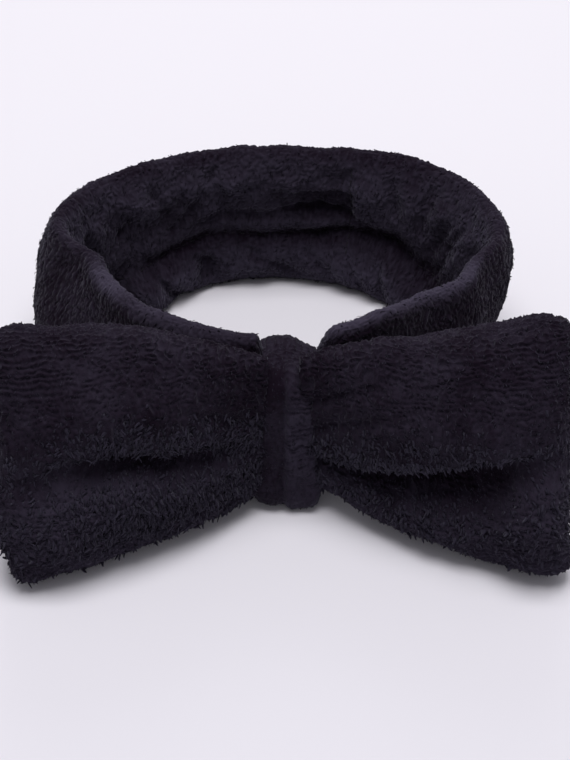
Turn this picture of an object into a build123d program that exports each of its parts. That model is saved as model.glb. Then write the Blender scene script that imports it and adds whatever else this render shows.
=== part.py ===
"""Stretchy fleece headband with a soft bow, standing on its lower edge. Millimetres.

Origin at the bottom centre of the whole. +X is to the viewer's right, +Y goes from the bow to the back of the
loop, +Z is up.
"""

from build123d import *
from math import atan2, cos, degrees, hypot, pi, radians, sin, sqrt
import os

os.makedirs("parts", exist_ok=True)

# Head loop: a tube of fleece bent into an ellipse, seen from above.
LOOP_X = -3.5
LOOP_Y = 32.0
LOOP_A = 94.0
LOOP_B = 66.0
BAND_HEIGHT = 67.5
BAND_DEPTH = 12.0
RIM_RADIUS = 4.0
CAVITY_OUT = 5.0
CAVITY_DEPTH = 2.0
CAVITY_MARGIN = 5.0
CAVITY_END_Y = 16.0

# Lengthwise seam on the inner face, in a shallow groove.
SEAM_Z = 33.5
SEAM_THREAD = 1.0
SEAM_GROOVE = 1.8
SEAM_GAP = 0.3

# Upright closing seam at the back of the loop.
CLOSING_ANGLE = 73.0
CLOSING_BOTTOM = 9.0
CLOSING_TOP = 30.0
CLOSING_UPPER_BOTTOM = 37.0
CLOSING_UPPER_TOP = 58.0

# Elastic inside the back half, and the stitches at its ends.
ELASTIC_THICK = 1.2
ELASTIC_LOW = 20.0
ELASTIC_HIGH = 47.0
ELASTIC_END_Y = 22.0
TACK_RADIUS = 0.4
TACK_LOW = 23.0
TACK_HIGH = 44.0
TACK_STEP = 7.0

# Knot: a wrap round the bow's middle and the pinched band.
KNOT_X = 1.5
KNOT_HALF = 10.5
KNOT_LOW = 0.8
KNOT_HIGH = 60.5
KNOT_BACK = -16.0
KNOT_FRONT_LOW = -50.0
KNOT_FRONT_HIGH = -41.5
KNOT_WALL = 4.3
KNOT_EDGE = 1.8
PINCH_LOW = 6.0
PINCH_HIGH = 55.0
PINCH_HALF = 11.5
PINCH_END = 32.0
BAND_FRONT_Y = LOOP_Y - LOOP_B
BAND_INNER_Y = BAND_FRONT_Y + BAND_DEPTH

# Bow loops: distance from the knot, then the section's foot, its top and its half thickness.
HINGE_OUT = 16.6
ROOT_HALF = 5.4
WING_STATIONS = (
    (HINGE_OUT, (-46.5, 6.5), (-41.0, 65.5), ROOT_HALF),
    (32.0, (-54.0, 5.0), (-43.5, 72.5), 9.5),
    (56.0, (-68.0, 4.4), (-45.5, 81.5), 14.5),
    (80.0, (-82.8, 3.4), (-46.5, 89.0), 17.0),
    (96.0, (-89.0, 3.2), (-47.5, 90.0), 13.5),
    (102.0, (-86.0, 9.6), (-51.0, 83.5), 6.0),
)
LEFT_OUT = 105.0
RIGHT_OUT = 102.0
CORNER_SHARE = 0.92
WING_WALL = 4.0
WADDING_GAP = 0.6
ROOT_TRIM = 4.0

# Closing thread along the back face of each bow loop, in a groove.
WING_SEAM_RADIUS = 0.5
WING_GROOVE_RADIUS = 1.3
WING_SEAM_STATIONS = (1, 2, 3, 4)

FAR = 200.0


def outer_y(x, inset):
    """Front face of the loop's ellipse, pulled in by inset, at a given x."""
    a = LOOP_A - inset
    b = LOOP_B - inset
    return LOOP_Y - b * sqrt(1.0 - ((x - LOOP_X) / a) ** 2)


def ring_sketch(outset, inset):
    """Ellipse ring between two insets from the band's outer face, in the open sketch."""
    with Locations((LOOP_X, LOOP_Y)):
        Ellipse(LOOP_A - outset, LOOP_B - outset)
        Ellipse(LOOP_A - inset, LOOP_B - inset, mode=Mode.SUBTRACT)


def half_sketch(front):
    """Half plane in front of the loop's centre line, or behind it, in the open sketch."""
    side = -1.0 if front else 1.0
    with Locations((LOOP_X, LOOP_Y + side * FAR / 2)):
        Rectangle(2 * FAR, FAR, mode=Mode.INTERSECT)


def band_half(front):
    """Half of the fleece tube: a rounded ring with a flat cavity and a seam groove in its inner face."""
    with BuildPart() as half:
        with BuildSketch(Plane.XY):
            ring_sketch(0.0, BAND_DEPTH)
        extrude(amount=BAND_HEIGHT)
        fillet(half.edges().filter_by(GeomType.ELLIPSE), RIM_RADIUS)
        with BuildSketch(Plane.XY.offset(CAVITY_MARGIN)):
            ring_sketch(CAVITY_OUT, CAVITY_OUT + CAVITY_DEPTH)
            with Locations((LOOP_X, CAVITY_END_Y + FAR / 2)):
                Rectangle(2 * FAR, FAR, mode=Mode.INTERSECT)
        extrude(amount=BAND_HEIGHT - 2 * CAVITY_MARGIN, mode=Mode.SUBTRACT)
        with BuildSketch(Plane.XY.offset(SEAM_Z - SEAM_GROOVE / 2)):
            ring_sketch(BAND_DEPTH - SEAM_GROOVE, BAND_DEPTH + 1.0)
        extrude(amount=SEAM_GROOVE, mode=Mode.SUBTRACT)
        with BuildSketch(Plane.XY):
            with Locations((LOOP_X, LOOP_Y + (-FAR / 2 if front else FAR / 2))):
                Rectangle(2 * FAR, FAR)
        extrude(amount=BAND_HEIGHT, mode=Mode.INTERSECT)
    return half.part


def seam_half(front):
    """Half of the lengthwise seam thread, lying in its groove."""
    with BuildPart() as half:
        with BuildSketch(Plane.XY.offset(SEAM_Z - SEAM_THREAD / 2)):
            ring_sketch(BAND_DEPTH - SEAM_GROOVE + SEAM_GAP, BAND_DEPTH - SEAM_GROOVE + SEAM_GAP + SEAM_THREAD)
            half_sketch(front)
        extrude(amount=SEAM_THREAD)
    return half.part


def front_profile_sketch():
    """Front view of the front half: full height at the sides, pinched at the knot, in the open sketch."""
    Polygon(
        (-FAR, 0.0),
        (KNOT_X - PINCH_END, 0.0),
        (KNOT_X - PINCH_HALF, PINCH_LOW),
        (KNOT_X + PINCH_HALF, PINCH_LOW),
        (KNOT_X + PINCH_END, 0.0),
        (FAR, 0.0),
        (FAR, BAND_HEIGHT),
        (KNOT_X + PINCH_END, BAND_HEIGHT),
        (KNOT_X + PINCH_HALF, PINCH_HIGH),
        (KNOT_X - PINCH_HALF, PINCH_HIGH),
        (KNOT_X - PINCH_END, BAND_HEIGHT),
        (-FAR, BAND_HEIGHT),
        align=None,
    )


# Back half of the sleeve, with a groove for the upright closing seam.
closing_x = LOOP_X + (LOOP_A - BAND_DEPTH) * cos(radians(CLOSING_ANGLE))
closing_y = LOOP_Y + (LOOP_B - BAND_DEPTH) * sin(radians(CLOSING_ANGLE))

with BuildPart() as sleeve_back:
    add(band_half(False))
    with BuildSketch(Plane.XY.offset(CLOSING_BOTTOM - SEAM_GAP)):
        with Locations((closing_x, closing_y)):
            Circle(SEAM_GROOVE)
    extrude(amount=CLOSING_UPPER_TOP - CLOSING_BOTTOM + 2 * SEAM_GAP, mode=Mode.SUBTRACT)

# Front half of the sleeve, pinched where the knot holds it.
with BuildPart() as sleeve_front:
    add(band_half(True))
    with BuildSketch(Plane.XZ.offset(-LOOP_Y)):
        front_profile_sketch()
    extrude(amount=FAR, mode=Mode.INTERSECT)

with BuildPart() as sleeve_seam_back:
    add(seam_half(False))

with BuildPart() as sleeve_seam_front:
    add(seam_half(True))

# Closing seam: two rows of thread, above and below the lengthwise seam.
with BuildPart() as back_closing_seam:
    for low, high in ((CLOSING_BOTTOM, CLOSING_TOP), (CLOSING_UPPER_BOTTOM, CLOSING_UPPER_TOP)):
        with BuildSketch(Plane.XY.offset(low)):
            with Locations((closing_x, closing_y)):
                Circle(SEAM_THREAD / 2)
        extrude(amount=high - low)

# Elastic: a flat strip in the cavity, round the back and a little past both sides.
elastic_outset = CAVITY_OUT + (CAVITY_DEPTH - ELASTIC_THICK) / 2
with BuildPart() as elastic_strip:
    with BuildSketch(Plane.XY.offset(ELASTIC_LOW)):
        ring_sketch(elastic_outset, elastic_outset + ELASTIC_THICK)
        with Locations((LOOP_X, ELASTIC_END_Y + FAR / 2)):
            Rectangle(2 * FAR, FAR, mode=Mode.INTERSECT)
    extrude(amount=ELASTIC_HIGH - ELASTIC_LOW)


def elastic_tack(side):
    """Short stitches just past one end of the elastic, on the wall of the cavity."""
    tack_y = ELASTIC_END_Y - 2.0
    spread = sqrt(1.0 - ((tack_y - LOOP_Y) / (LOOP_B - CAVITY_OUT - CAVITY_DEPTH / 2)) ** 2)
    tack_x = LOOP_X + side * (LOOP_A - CAVITY_OUT - CAVITY_DEPTH / 2) * spread
    rows = int((TACK_HIGH - TACK_LOW) / TACK_STEP) + 1
    with BuildPart() as tack:
        with BuildSketch(Plane.XY.offset(TACK_LOW)):
            with Locations((tack_x, tack_y)):
                Circle(TACK_RADIUS)
        extrude(amount=TACK_HIGH - TACK_LOW)
        for row in range(rows):
            with BuildSketch(Plane.XZ.offset(-tack_y)):
                with Locations((tack_x, TACK_LOW + row * TACK_STEP)):
                    Circle(TACK_RADIUS)
            extrude(amount=-1.6)
    return tack.part


with BuildPart() as elastic_tack_left:
    add(elastic_tack(-1.0))

with BuildPart() as elastic_tack_right:
    add(elastic_tack(1.0))


def knot_front_y(z, inset):
    """Front face of the knot wrap at height z, moved back by inset."""
    share = (z - KNOT_LOW) / (KNOT_HIGH - KNOT_LOW)
    return KNOT_FRONT_LOW + share * (KNOT_FRONT_HIGH - KNOT_FRONT_LOW) + inset


def knot_outline(inset):
    """Side view of the knot wrap, pulled in by inset, as (y, z) corners."""
    low = KNOT_LOW + inset
    high = KNOT_HIGH - inset
    return (
        (knot_front_y(low, inset), low),
        (KNOT_BACK - inset, low),
        (KNOT_BACK - inset, high),
        (knot_front_y(high, inset), high),
    )


def side_face(points):
    """Polygon through (y, z) points, in the open sketch of a side plane."""
    Polygon(*points, align=None)


# Knot wrap: a strip of fleece closed into a ring round the bow's middle and the pinched band.
with BuildPart() as knot_wrap:
    with BuildSketch(Plane.YZ.offset(KNOT_X - KNOT_HALF)):
        side_face(knot_outline(0.0))
    extrude(amount=2 * KNOT_HALF)
    fillet(knot_wrap.edges().filter_by(Axis.X), KNOT_WALL)
    with BuildSketch(Plane.YZ.offset(KNOT_X - KNOT_HALF - 1.0)):
        side_face(knot_outline(KNOT_WALL))
    extrude(amount=2 * KNOT_HALF + 2.0, mode=Mode.SUBTRACT)
    groove_z = (KNOT_LOW + KNOT_HIGH) / 2
    with BuildSketch(Plane.XY.offset(KNOT_LOW + KNOT_WALL + 4.0)):
        with Locations((KNOT_X, KNOT_BACK)):
            Circle(SEAM_GROOVE)
    extrude(amount=KNOT_HIGH - KNOT_LOW - 2 * KNOT_WALL - 8.0, mode=Mode.SUBTRACT)

# Stitches that close the wrap on its back, inside the head loop.
with BuildPart() as knot_back_seam:
    with BuildSketch(Plane.XY.offset(KNOT_LOW + KNOT_WALL + 4.0 + SEAM_GAP)):
        with Locations((KNOT_X, KNOT_BACK)):
            Circle(SEAM_THREAD)
    extrude(amount=KNOT_HIGH - KNOT_LOW - 2 * KNOT_WALL - 8.0 - 2 * SEAM_GAP)

# Gathered middle of the bow, between the wrap's front and the band.
WAIST_GAP = 0.5
THREAD_RADIUS = 0.6
THREAD_Z = (18.0, 26.0, 34.0, 42.0)
waist_back_y = BAND_FRONT_Y - 0.5
with BuildPart() as bow_waist:
    with BuildSketch(Plane.YZ.offset(KNOT_X - KNOT_HALF + 0.2)):
        waist_low = KNOT_LOW + KNOT_WALL + WAIST_GAP
        waist_high = KNOT_HIGH - KNOT_WALL - WAIST_GAP
        side_face(
            (
                (knot_front_y(waist_low, KNOT_WALL + WAIST_GAP + 0.9), waist_low),
                (waist_back_y, waist_low),
                (waist_back_y, waist_high),
                (knot_front_y(waist_high, KNOT_WALL + WAIST_GAP), waist_high),
            )
        )
    extrude(amount=2 * KNOT_HALF - 0.4)
    for z in THREAD_Z:
        groove_y = knot_front_y(z, KNOT_WALL + WAIST_GAP)
        with BuildSketch(Plane.YZ.offset(KNOT_X - KNOT_HALF)):
            with Locations((groove_y, z)):
                Circle(2 * THREAD_RADIUS)
        extrude(amount=2 * KNOT_HALF, mode=Mode.SUBTRACT)
    for z in (THREAD_Z[0] + 4.0, THREAD_Z[2] + 4.0):
        with BuildSketch(Plane.XZ.offset(-waist_back_y)):
            with Locations((KNOT_X, z)):
                Circle(2 * THREAD_RADIUS)
        extrude(amount=2.0, mode=Mode.SUBTRACT)

# Gathering thread: turns pulled tight into the front of the bow's middle.
with BuildPart() as gather_thread:
    for z in THREAD_Z:
        turn_y = knot_front_y(z, KNOT_WALL + WAIST_GAP) + THREAD_RADIUS / 2
        with BuildSketch(Plane.YZ.offset(KNOT_X - KNOT_HALF + 1.0)):
            with Locations((turn_y, z)):
                Circle(THREAD_RADIUS)
        extrude(amount=2 * KNOT_HALF - 2.0)

# Tacks that tie the bow's middle to the band, in the bow's back.
with BuildPart() as bow_tacks:
    for z in (THREAD_Z[0] + 4.0, THREAD_Z[2] + 4.0):
        with BuildSketch(Plane.XZ.offset(-waist_back_y)):
            with Locations((KNOT_X, z)):
                Circle(THREAD_RADIUS)
        extrude(amount=1.6)


def section_axes(foot, top):
    """Centre, length and lean in degrees of a section given by its foot and top as (y, z)."""
    run = top[0] - foot[0]
    rise = top[1] - foot[1]
    centre = ((foot[0] + top[0]) / 2, (foot[1] + top[1]) / 2)
    return centre, hypot(run, rise), degrees(atan2(run, rise))


def wing_loft(side, reach, inset):
    """Bow loop on one side as a loft of rounded sections, each pulled in by inset."""
    scale = (reach - HINGE_OUT) / (WING_STATIONS[-1][0] - HINGE_OUT)
    first = WING_STATIONS[0][0]
    last = WING_STATIONS[-1][0]
    with BuildPart() as wing:
        for out, foot, top, half in WING_STATIONS:
            centre, length, lean = section_axes(foot, top)
            pull = inset * (2.0 * (out - first) / (last - first) - 1.0)
            x = KNOT_X + side * (HINGE_OUT + (out - HINGE_OUT) * scale - pull)
            width = 2 * (half - inset)
            height = length - 2 * inset
            with BuildSketch(Plane.YZ.offset(x)):
                with Locations(Location((centre[0], centre[1], 0), (0, 0, 1), -lean)):
                    RectangleRounded(width, height, width / 2 * CORNER_SHARE)
        loft()
    return wing.part


def hinge_roll(side):
    """Rounded inner end of a bow loop, about the axis it bends on."""
    out, foot, top, half = WING_STATIONS[0]
    centre, length, lean = section_axes(foot, top)
    axis_dir = (0.0, sin(radians(lean)), cos(radians(lean)))
    trim = length / 2 - ROOT_TRIM
    start = (
        KNOT_X + side * HINGE_OUT,
        centre[0] - axis_dir[1] * trim,
        centre[1] - axis_dir[2] * trim,
    )
    with BuildPart() as roll:
        with BuildSketch(Plane(origin=start, z_dir=axis_dir)):
            Circle(half)
        extrude(amount=2 * trim)
    return roll.part


def wing_seam(side, reach, radius):
    """Thread of a given radius along the middle of a bow loop's back face."""
    scale = (reach - HINGE_OUT) / (WING_STATIONS[-1][0] - HINGE_OUT)
    points = []
    for index in WING_SEAM_STATIONS:
        out, foot, top, half = WING_STATIONS[index]
        centre, length, lean = section_axes(foot, top)
        x = KNOT_X + side * (HINGE_OUT + (out - HINGE_OUT) * scale)
        y = centre[0] + half * cos(radians(lean))
        z = centre[1] - half * sin(radians(lean))
        points.append((x, y, z))
    with BuildPart() as thread:
        with BuildLine() as path:
            Spline(*points)
        with BuildSketch(Plane(origin=path.line @ 0, z_dir=path.line % 0)):
            Circle(radius)
        sweep()
    return thread.part


def wing(side, reach):
    """Fleece of one bow loop: hollow for its filling, with a groove for its closing thread."""
    with BuildPart() as shell:
        add(wing_loft(side, reach, 0.0))
        add(hinge_roll(side))
        add(wing_loft(side, reach, WING_WALL), mode=Mode.SUBTRACT)
        add(wing_seam(side, reach, WING_GROOVE_RADIUS), mode=Mode.SUBTRACT)
    return shell.part


def wadding(side, reach):
    """Soft filling of one bow loop."""
    return wing_loft(side, reach, WING_WALL + WADDING_GAP)


with BuildPart() as bow_left:
    add(wing(-1.0, LEFT_OUT))

with BuildPart() as bow_right:
    add(wing(1.0, RIGHT_OUT))

with BuildPart() as bow_left_seam:
    add(wing_seam(-1.0, LEFT_OUT, WING_SEAM_RADIUS))

with BuildPart() as bow_right_seam:
    add(wing_seam(1.0, RIGHT_OUT, WING_SEAM_RADIUS))

with BuildPart() as bow_left_wadding:
    add(wadding(-1.0, LEFT_OUT))

with BuildPart() as bow_right_wadding:
    add(wadding(1.0, RIGHT_OUT))

NODES = {
    "sleeve_front": sleeve_front,
    "sleeve_back": sleeve_back,
    "sleeve_seam_front": sleeve_seam_front,
    "sleeve_seam_back": sleeve_seam_back,
    "back_closing_seam": back_closing_seam,
    "elastic_strip": elastic_strip,
    "elastic_tack_left": elastic_tack_left,
    "elastic_tack_right": elastic_tack_right,
    "bow_left": bow_left,
    "bow_right": bow_right,
    "bow_left_wadding": bow_left_wadding,
    "bow_right_wadding": bow_right_wadding,
    "bow_left_seam": bow_left_seam,
    "bow_right_seam": bow_right_seam,
    "bow_waist": bow_waist,
    "gather_thread": gather_thread,
    "knot_wrap": knot_wrap,
    "knot_back_seam": knot_back_seam,
    "bow_tacks": bow_tacks,
}
for node_name, node in NODES.items():
    node.part.label = node_name
    export_step(node.part, f"parts/{node_name}.step")
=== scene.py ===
"""Black fleece spa headband: fleece loop, filled bow and centre wrap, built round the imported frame."""

from math import cos, pi, radians, sin

import bpy
import numpy as np
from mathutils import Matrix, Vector


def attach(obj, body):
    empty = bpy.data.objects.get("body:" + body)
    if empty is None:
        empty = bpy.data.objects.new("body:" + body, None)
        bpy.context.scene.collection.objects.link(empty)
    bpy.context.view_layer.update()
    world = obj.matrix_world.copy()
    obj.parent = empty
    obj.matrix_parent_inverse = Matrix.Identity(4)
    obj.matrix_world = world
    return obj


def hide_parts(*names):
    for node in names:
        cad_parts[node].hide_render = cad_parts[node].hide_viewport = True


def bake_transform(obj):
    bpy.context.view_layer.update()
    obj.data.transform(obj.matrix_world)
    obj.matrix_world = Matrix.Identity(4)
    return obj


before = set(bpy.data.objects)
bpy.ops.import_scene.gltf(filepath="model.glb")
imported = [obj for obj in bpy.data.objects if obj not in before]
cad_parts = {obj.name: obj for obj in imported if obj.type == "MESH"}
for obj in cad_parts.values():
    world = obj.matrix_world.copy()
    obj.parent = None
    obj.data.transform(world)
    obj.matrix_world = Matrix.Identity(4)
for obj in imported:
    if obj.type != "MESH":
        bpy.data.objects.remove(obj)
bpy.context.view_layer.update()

MM = 0.001

# Head loop, in millimetres: its middle, half length and half width outside, and its band. Under the wrap the
# band narrows by a share of its height and drops. The closing seam is at an angle in degrees, and its ends
# are measured from the band's mid height.
LOOP = np.array((-2.2, 32.0))
LOOP_A = 93.9
LOOP_B = 66.3
BAND_DEPTH = 12.0
BAND_HEIGHT = 67.5
PINCH_NARROW = 0.27
PINCH_DROP = 3.2
CLOSING_ANGLE = 69.0
CLOSING_LOW = -14.0
CLOSING_HIGH = 27.0

# Elastic inside the rear of the loop, in millimetres. It lies a little outside the band's middle line.
ELASTIC_LOW = 20.0
ELASTIC_HIGH = 47.0
ELASTIC_END_Y = 22.0
ELASTIC_HALF_THICK = 0.6
ELASTIC_OUT = 2.2

# Knot, in millimetres. The wrap's skin lies a little to the right of the bow's middle.
KNOT_X = 1.5
KNOT_HALF = 10.5
WRAP_SHIFT = 1.2
WRAP_EDGE = 1.4
WRAP_HALF_THICK = 2.7
WRAP_CROWN_HALF = 11.5

# Bow loops in mm: which way along x, how far they reach, sections over the distance from the knot given as
# foot (y, z), top (y, z) and half thickness, and how far the foot of the outer end tucks in.
WING_D = np.array((6.0, 16.0, 32.0, 56.0, 80.0, 96.0, 104.0))
LEFT_SHAPE = {
    "side": -1.0,
    "reach": 105.5,
    "foot_y": (-43.5, -49.4, -59.4, -71.7, -82.5, -87.3, -88.3),
    "foot_z": (6.5, 5.2, 3.8, 3.0, 2.2, 1.8, 2.0),
    "top_y": (-39.5, -40.5, -42.5, -44.5, -46.0, -47.0, -48.0),
    "top_z": (67.0, 72.0, 79.0, 86.0, 88.0, 89.0, 90.0),
    "half": (4.6, 8.4, 11.6, 15.4, 17.2, 15.5, 14.0),
    "tuck": 5.0,
}
RIGHT_SHAPE = {
    "side": 1.0,
    "reach": 103.5,
    "foot_y": (-43.0, -44.9, -54.8, -67.4, -77.9, -84.3, -87.4),
    "foot_z": (7.4, 8.6, 6.0, 4.2, 3.0, 2.2, 2.0),
    "top_y": (-39.5, -40.5, -42.5, -44.5, -46.0, -47.0, -48.0),
    "top_z": (67.0, 72.0, 76.8, 82.5, 89.0, 94.0, 94.8),
    "half": (4.6, 8.4, 11.6, 15.4, 17.6, 16.0, 14.0),
    "tuck": -2.0,
}
WING_END_ROUND = 12.0

# Pile, in millimetres: the distance between its rows, and how deep its tufts start under the skin.
ROW_PITCH = 2.0
TUFT_ROOT_DEPTH = 0.25


# ---------------------------------------------------------------- numbers


def hash01(ix, iy, seed):
    """Repeatable value from 0 to 1 for each lattice point, from its scrambled bits."""
    n = (ix * 374761393 + iy * 668265263 + seed * 974711) & 0xFFFFFFFF
    n = ((n ^ (n >> 13)) * 1274126177) & 0xFFFFFFFF
    return ((n ^ (n >> 16)) & 0xFFFF) / 65535.0


def noise(x, y, seed):
    """Smooth value noise from -1 to 1 with a cell of 1."""
    ix = np.floor(x).astype(np.int64)
    iy = np.floor(y).astype(np.int64)
    fx = x - ix
    fy = y - iy
    fx = fx * fx * (3 - 2 * fx)
    fy = fy * fy * (3 - 2 * fy)
    low = hash01(ix, iy, seed) * (1 - fx) + hash01(ix + 1, iy, seed) * fx
    high = hash01(ix, iy + 1, seed) * (1 - fx) + hash01(ix + 1, iy + 1, seed) * fx
    return 2 * (low * (1 - fy) + high * fy) - 1


def smooth(low, high, x):
    """Smooth step from 0 at low to 1 at high."""
    t = np.clip((x - low) / (high - low), 0.0, 1.0)
    return t * t * (3 - 2 * t)


def bell(x, width):
    """Bump of height 1 at 0 that fades over width."""
    return np.exp(-((x / width) ** 2))


def signed_power(x, power):
    """Power of the size of x, with the sign of x."""
    return np.sign(x) * np.abs(x) ** power


def curve(xs, ys, x):
    """Smooth curve through (xs, ys), read at x."""
    xs = np.asarray(xs, float)
    ys = np.asarray(ys, float)
    slope = np.gradient(ys, xs)
    i = np.clip(np.searchsorted(xs, x) - 1, 0, len(xs) - 2)
    span = xs[i + 1] - xs[i]
    t = np.clip((x - xs[i]) / span, 0.0, 1.0)
    h00 = 2 * t**3 - 3 * t**2 + 1
    h10 = t**3 - 2 * t**2 + t
    h01 = -2 * t**3 + 3 * t**2
    h11 = t**3 - t**2
    return h00 * ys[i] + h10 * span * slope[i] + h01 * ys[i + 1] + h11 * span * slope[i + 1]


def run_length(points):
    """Distance along a line of points, from 0 at its first."""
    return np.concatenate(((0,), np.cumsum(np.linalg.norm(np.diff(points, axis=0), axis=1))))


def normals(grid, wrap_u):
    """Unit normals of a grid of points that closes in v, and in u if wrap_u."""
    if wrap_u:
        du = np.roll(grid, -1, 0) - np.roll(grid, 1, 0)
    else:
        du = np.gradient(grid, axis=0)
    dv = np.roll(grid, -1, 1) - np.roll(grid, 1, 1)
    n = np.cross(du, dv)
    return n / np.maximum(np.linalg.norm(n, axis=2, keepdims=True), 1e-9)


def lumps(x, y, seed):
    """Rounded lumps from 0 to 1 with narrow valleys between them, about 1.7 apart."""
    return np.abs(noise(x, y, seed)) ** 0.85


def nap(along, across, seed, rows, strands, curls, steady=0.0):
    """Height in mm of a combed pile, and its tone: painted shade from 0 in the gaps to painted light at 1 on
    the crests.

    rows are wavy and lie across the comb, unbroken where steady is 1.
    strands run along it, and curls are short.
    """
    bend = noise(along / 7.0, across / 6.0, seed)
    fine_bend = noise(along / 2.6, across / 2.6, seed + 1)
    phase = across / ROW_PITCH + (0.75 - 0.20 * steady) * bend + (0.40 - 0.05 * steady) * fine_bend
    row = phase - np.floor(phase)
    ridge = np.sin(pi * row) ** 0.8
    gaps = noise(along / 3.0, np.floor(phase) * 0.81 + 0.2, seed + 2) + 0.55 * steady
    broken = smooth(-0.60, 0.35, gaps)
    lock = lumps(along / 1.05 + 0.9 * bend + 0.4 * fine_bend, across / 3.1 + 0.5 * fine_bend, seed + 3)
    curl = lumps(along / 1.15 + 0.9 * fine_bend, across / 1.7 + 0.9 * bend, seed + 4)
    height = rows * (broken * ridge - 0.55) + strands * (lock - 0.5) + curls * (curl - 0.5)
    # Painted light on the crests of rows, locks and curls, and painted shade in the gaps between them.
    tone = (rows * (1 - broken + broken * ridge) + strands * lock + curls * curl) / (rows + strands + curls)
    return height, tone


# ---------------------------------------------------------------- meshes


def new_piece(name, points, faces):
    """Smooth-shaded object from points in mm and faces."""
    mesh = bpy.data.meshes.new(name)
    mesh.from_pydata((np.reshape(points, (-1, 3)) * MM).tolist(), [], faces)
    mesh.polygons.foreach_set("use_smooth", np.ones(len(faces), bool))
    mesh.update()
    piece = bpy.data.objects.new(name, mesh)
    bpy.context.collection.objects.link(piece)
    return piece


def grid_mesh(name, grid, wrap_u, tone=None):
    """Mesh object from a grid of points in mm that closes in v, and in u or with end caps."""
    nu, nv = grid.shape[:2]
    index = np.arange(nu * nv).reshape(nu, nv)
    rows = index if wrap_u else index[:-1]
    ahead = np.roll(index, -1, 0) if wrap_u else index[1:]
    quads = np.stack(
        (rows, ahead, np.roll(ahead, -1, 1), np.roll(rows, -1, 1)),
        axis=2,
    ).reshape(-1, 4)
    faces = quads.tolist()
    if not wrap_u:
        faces.append(index[0].tolist())
        faces.append(index[-1][::-1].tolist())
    piece = new_piece(name, grid, faces)
    # A given tone is stored on the points: it is the pile's painted light and shade.
    if tone is not None:
        piece.data.attributes.new("painted_pile_light_and_shade", "FLOAT", "POINT").data.foreach_set("value", tone.ravel())
    return piece


def tuft_mesh(name, roots, normal, flow, length, width, rise, curl):
    """Mesh of many blunt three-sided tufts in mm.

    They rise from their roots, lie over along flow and curl aside.
    """
    count = len(roots)
    side = np.cross(normal, flow)
    long = length[:, None]
    wide = width[:, None]
    high = (rise * length)[:, None]
    bent = (curl * length)[:, None]
    rings = []
    # Each ring of three corners lies at shares of the tuft's length and rise, and is a share of its width.
    for far, up, thick in ((0.0, 0.0, 1.0), (0.38, 0.50, 1.0), (0.80, 0.55, 0.72)):
        spot = roots + flow * far * long + normal * up * high + side * bent * far**2
        half = side * wide * 0.5 * thick
        rings += [spot + half, spot - half, spot + normal * wide * 0.45 * thick]
    tip = roots + flow * long + normal * high * 0.35 + side * bent
    base = np.stack((*rings, tip), axis=1)
    base[:, :, 2] = np.maximum(base[:, :, 2], 0.0)
    start = (np.arange(count) * base.shape[1])[:, None]
    wall_light_and_shade = ((0, 2, 5, 3), (2, 1, 4, 5), (1, 0, 3, 4), (3, 5, 8, 6), (5, 4, 7, 8), (4, 3, 6, 7))
    tips = ((6, 8, 9), (8, 7, 9), (7, 6, 9))
    faces = np.concatenate([start + np.array(wall) for wall in wall_light_and_shade]).tolist()
    faces += np.concatenate([start + np.array(end) for end in tips]).tolist()
    return new_piece(name, base, faces)


def scatter(grid, wrap_u, spacing, rng, keep):
    """Cells of a grid surface picked evenly by area, and a random spot in each."""
    ahead = np.roll(grid, -1, 0) if wrap_u else grid[1:]
    here = grid if wrap_u else grid[:-1]
    beside = np.roll(here, -1, 1)
    area = np.linalg.norm(np.cross(ahead - here, beside - here), axis=2)
    wanted = area * keep[: area.shape[0]] / spacing**2
    cells = np.argwhere(rng.random(wanted.shape) < wanted)
    return cells, rng.random((len(cells), 2))


def tufts_on(name, grid, wrap_u, comb, keep, seed, spacing, long, wide, rise):
    """Tufts over a grid surface, combed along comb (a vector field) and rising from it. keep thins them."""
    rng = np.random.default_rng(seed)
    cells, offset = scatter(grid, wrap_u, spacing, rng, keep)
    i, j = cells[:, 0], cells[:, 1]
    k = (i + 1) % grid.shape[0]
    m = (j + 1) % grid.shape[1]
    a = offset[:, :1]
    b = offset[:, 1:]
    spot = grid[i, j] * (1 - a) * (1 - b) + grid[k, j] * a * (1 - b)
    spot = spot + grid[i, m] * (1 - a) * b + grid[k, m] * a * b
    normal = normals(grid, wrap_u)[i, j]
    flow = comb[i, j]
    flow = flow - normal * np.sum(flow * normal, axis=1, keepdims=True)
    flow = flow / np.maximum(np.linalg.norm(flow, axis=1, keepdims=True), 1e-9)
    x, y, z = spot.T
    swirl = 0.75 * noise((x + 0.6 * y) / 3.6, z / 4.2, seed) + 0.45 * noise((x - y) / 1.9, z / 2.4, seed + 1)
    swirl = swirl + rng.normal(0.0, 0.12, len(spot))
    flow = flow + np.cross(normal, flow) * swirl[:, None]
    flow = flow / np.linalg.norm(flow, axis=1, keepdims=True)
    length = long * (0.6 + 0.7 * rng.random(len(spot)))
    width = wide * (0.7 + 0.6 * rng.random(len(spot)))
    height = rise * (0.6 + 0.8 * rng.random(len(spot)))
    curl = 0.80 * noise((x + z) / 2.3, (y - z) / 2.7, seed + 2)
    return tuft_mesh(name, spot - normal * TUFT_ROOT_DEPTH, normal, flow, length, width, height, curl)


# A direction that no thread runs in.
OFF_THREADS = (0.31, 0.17, 0.93)


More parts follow.
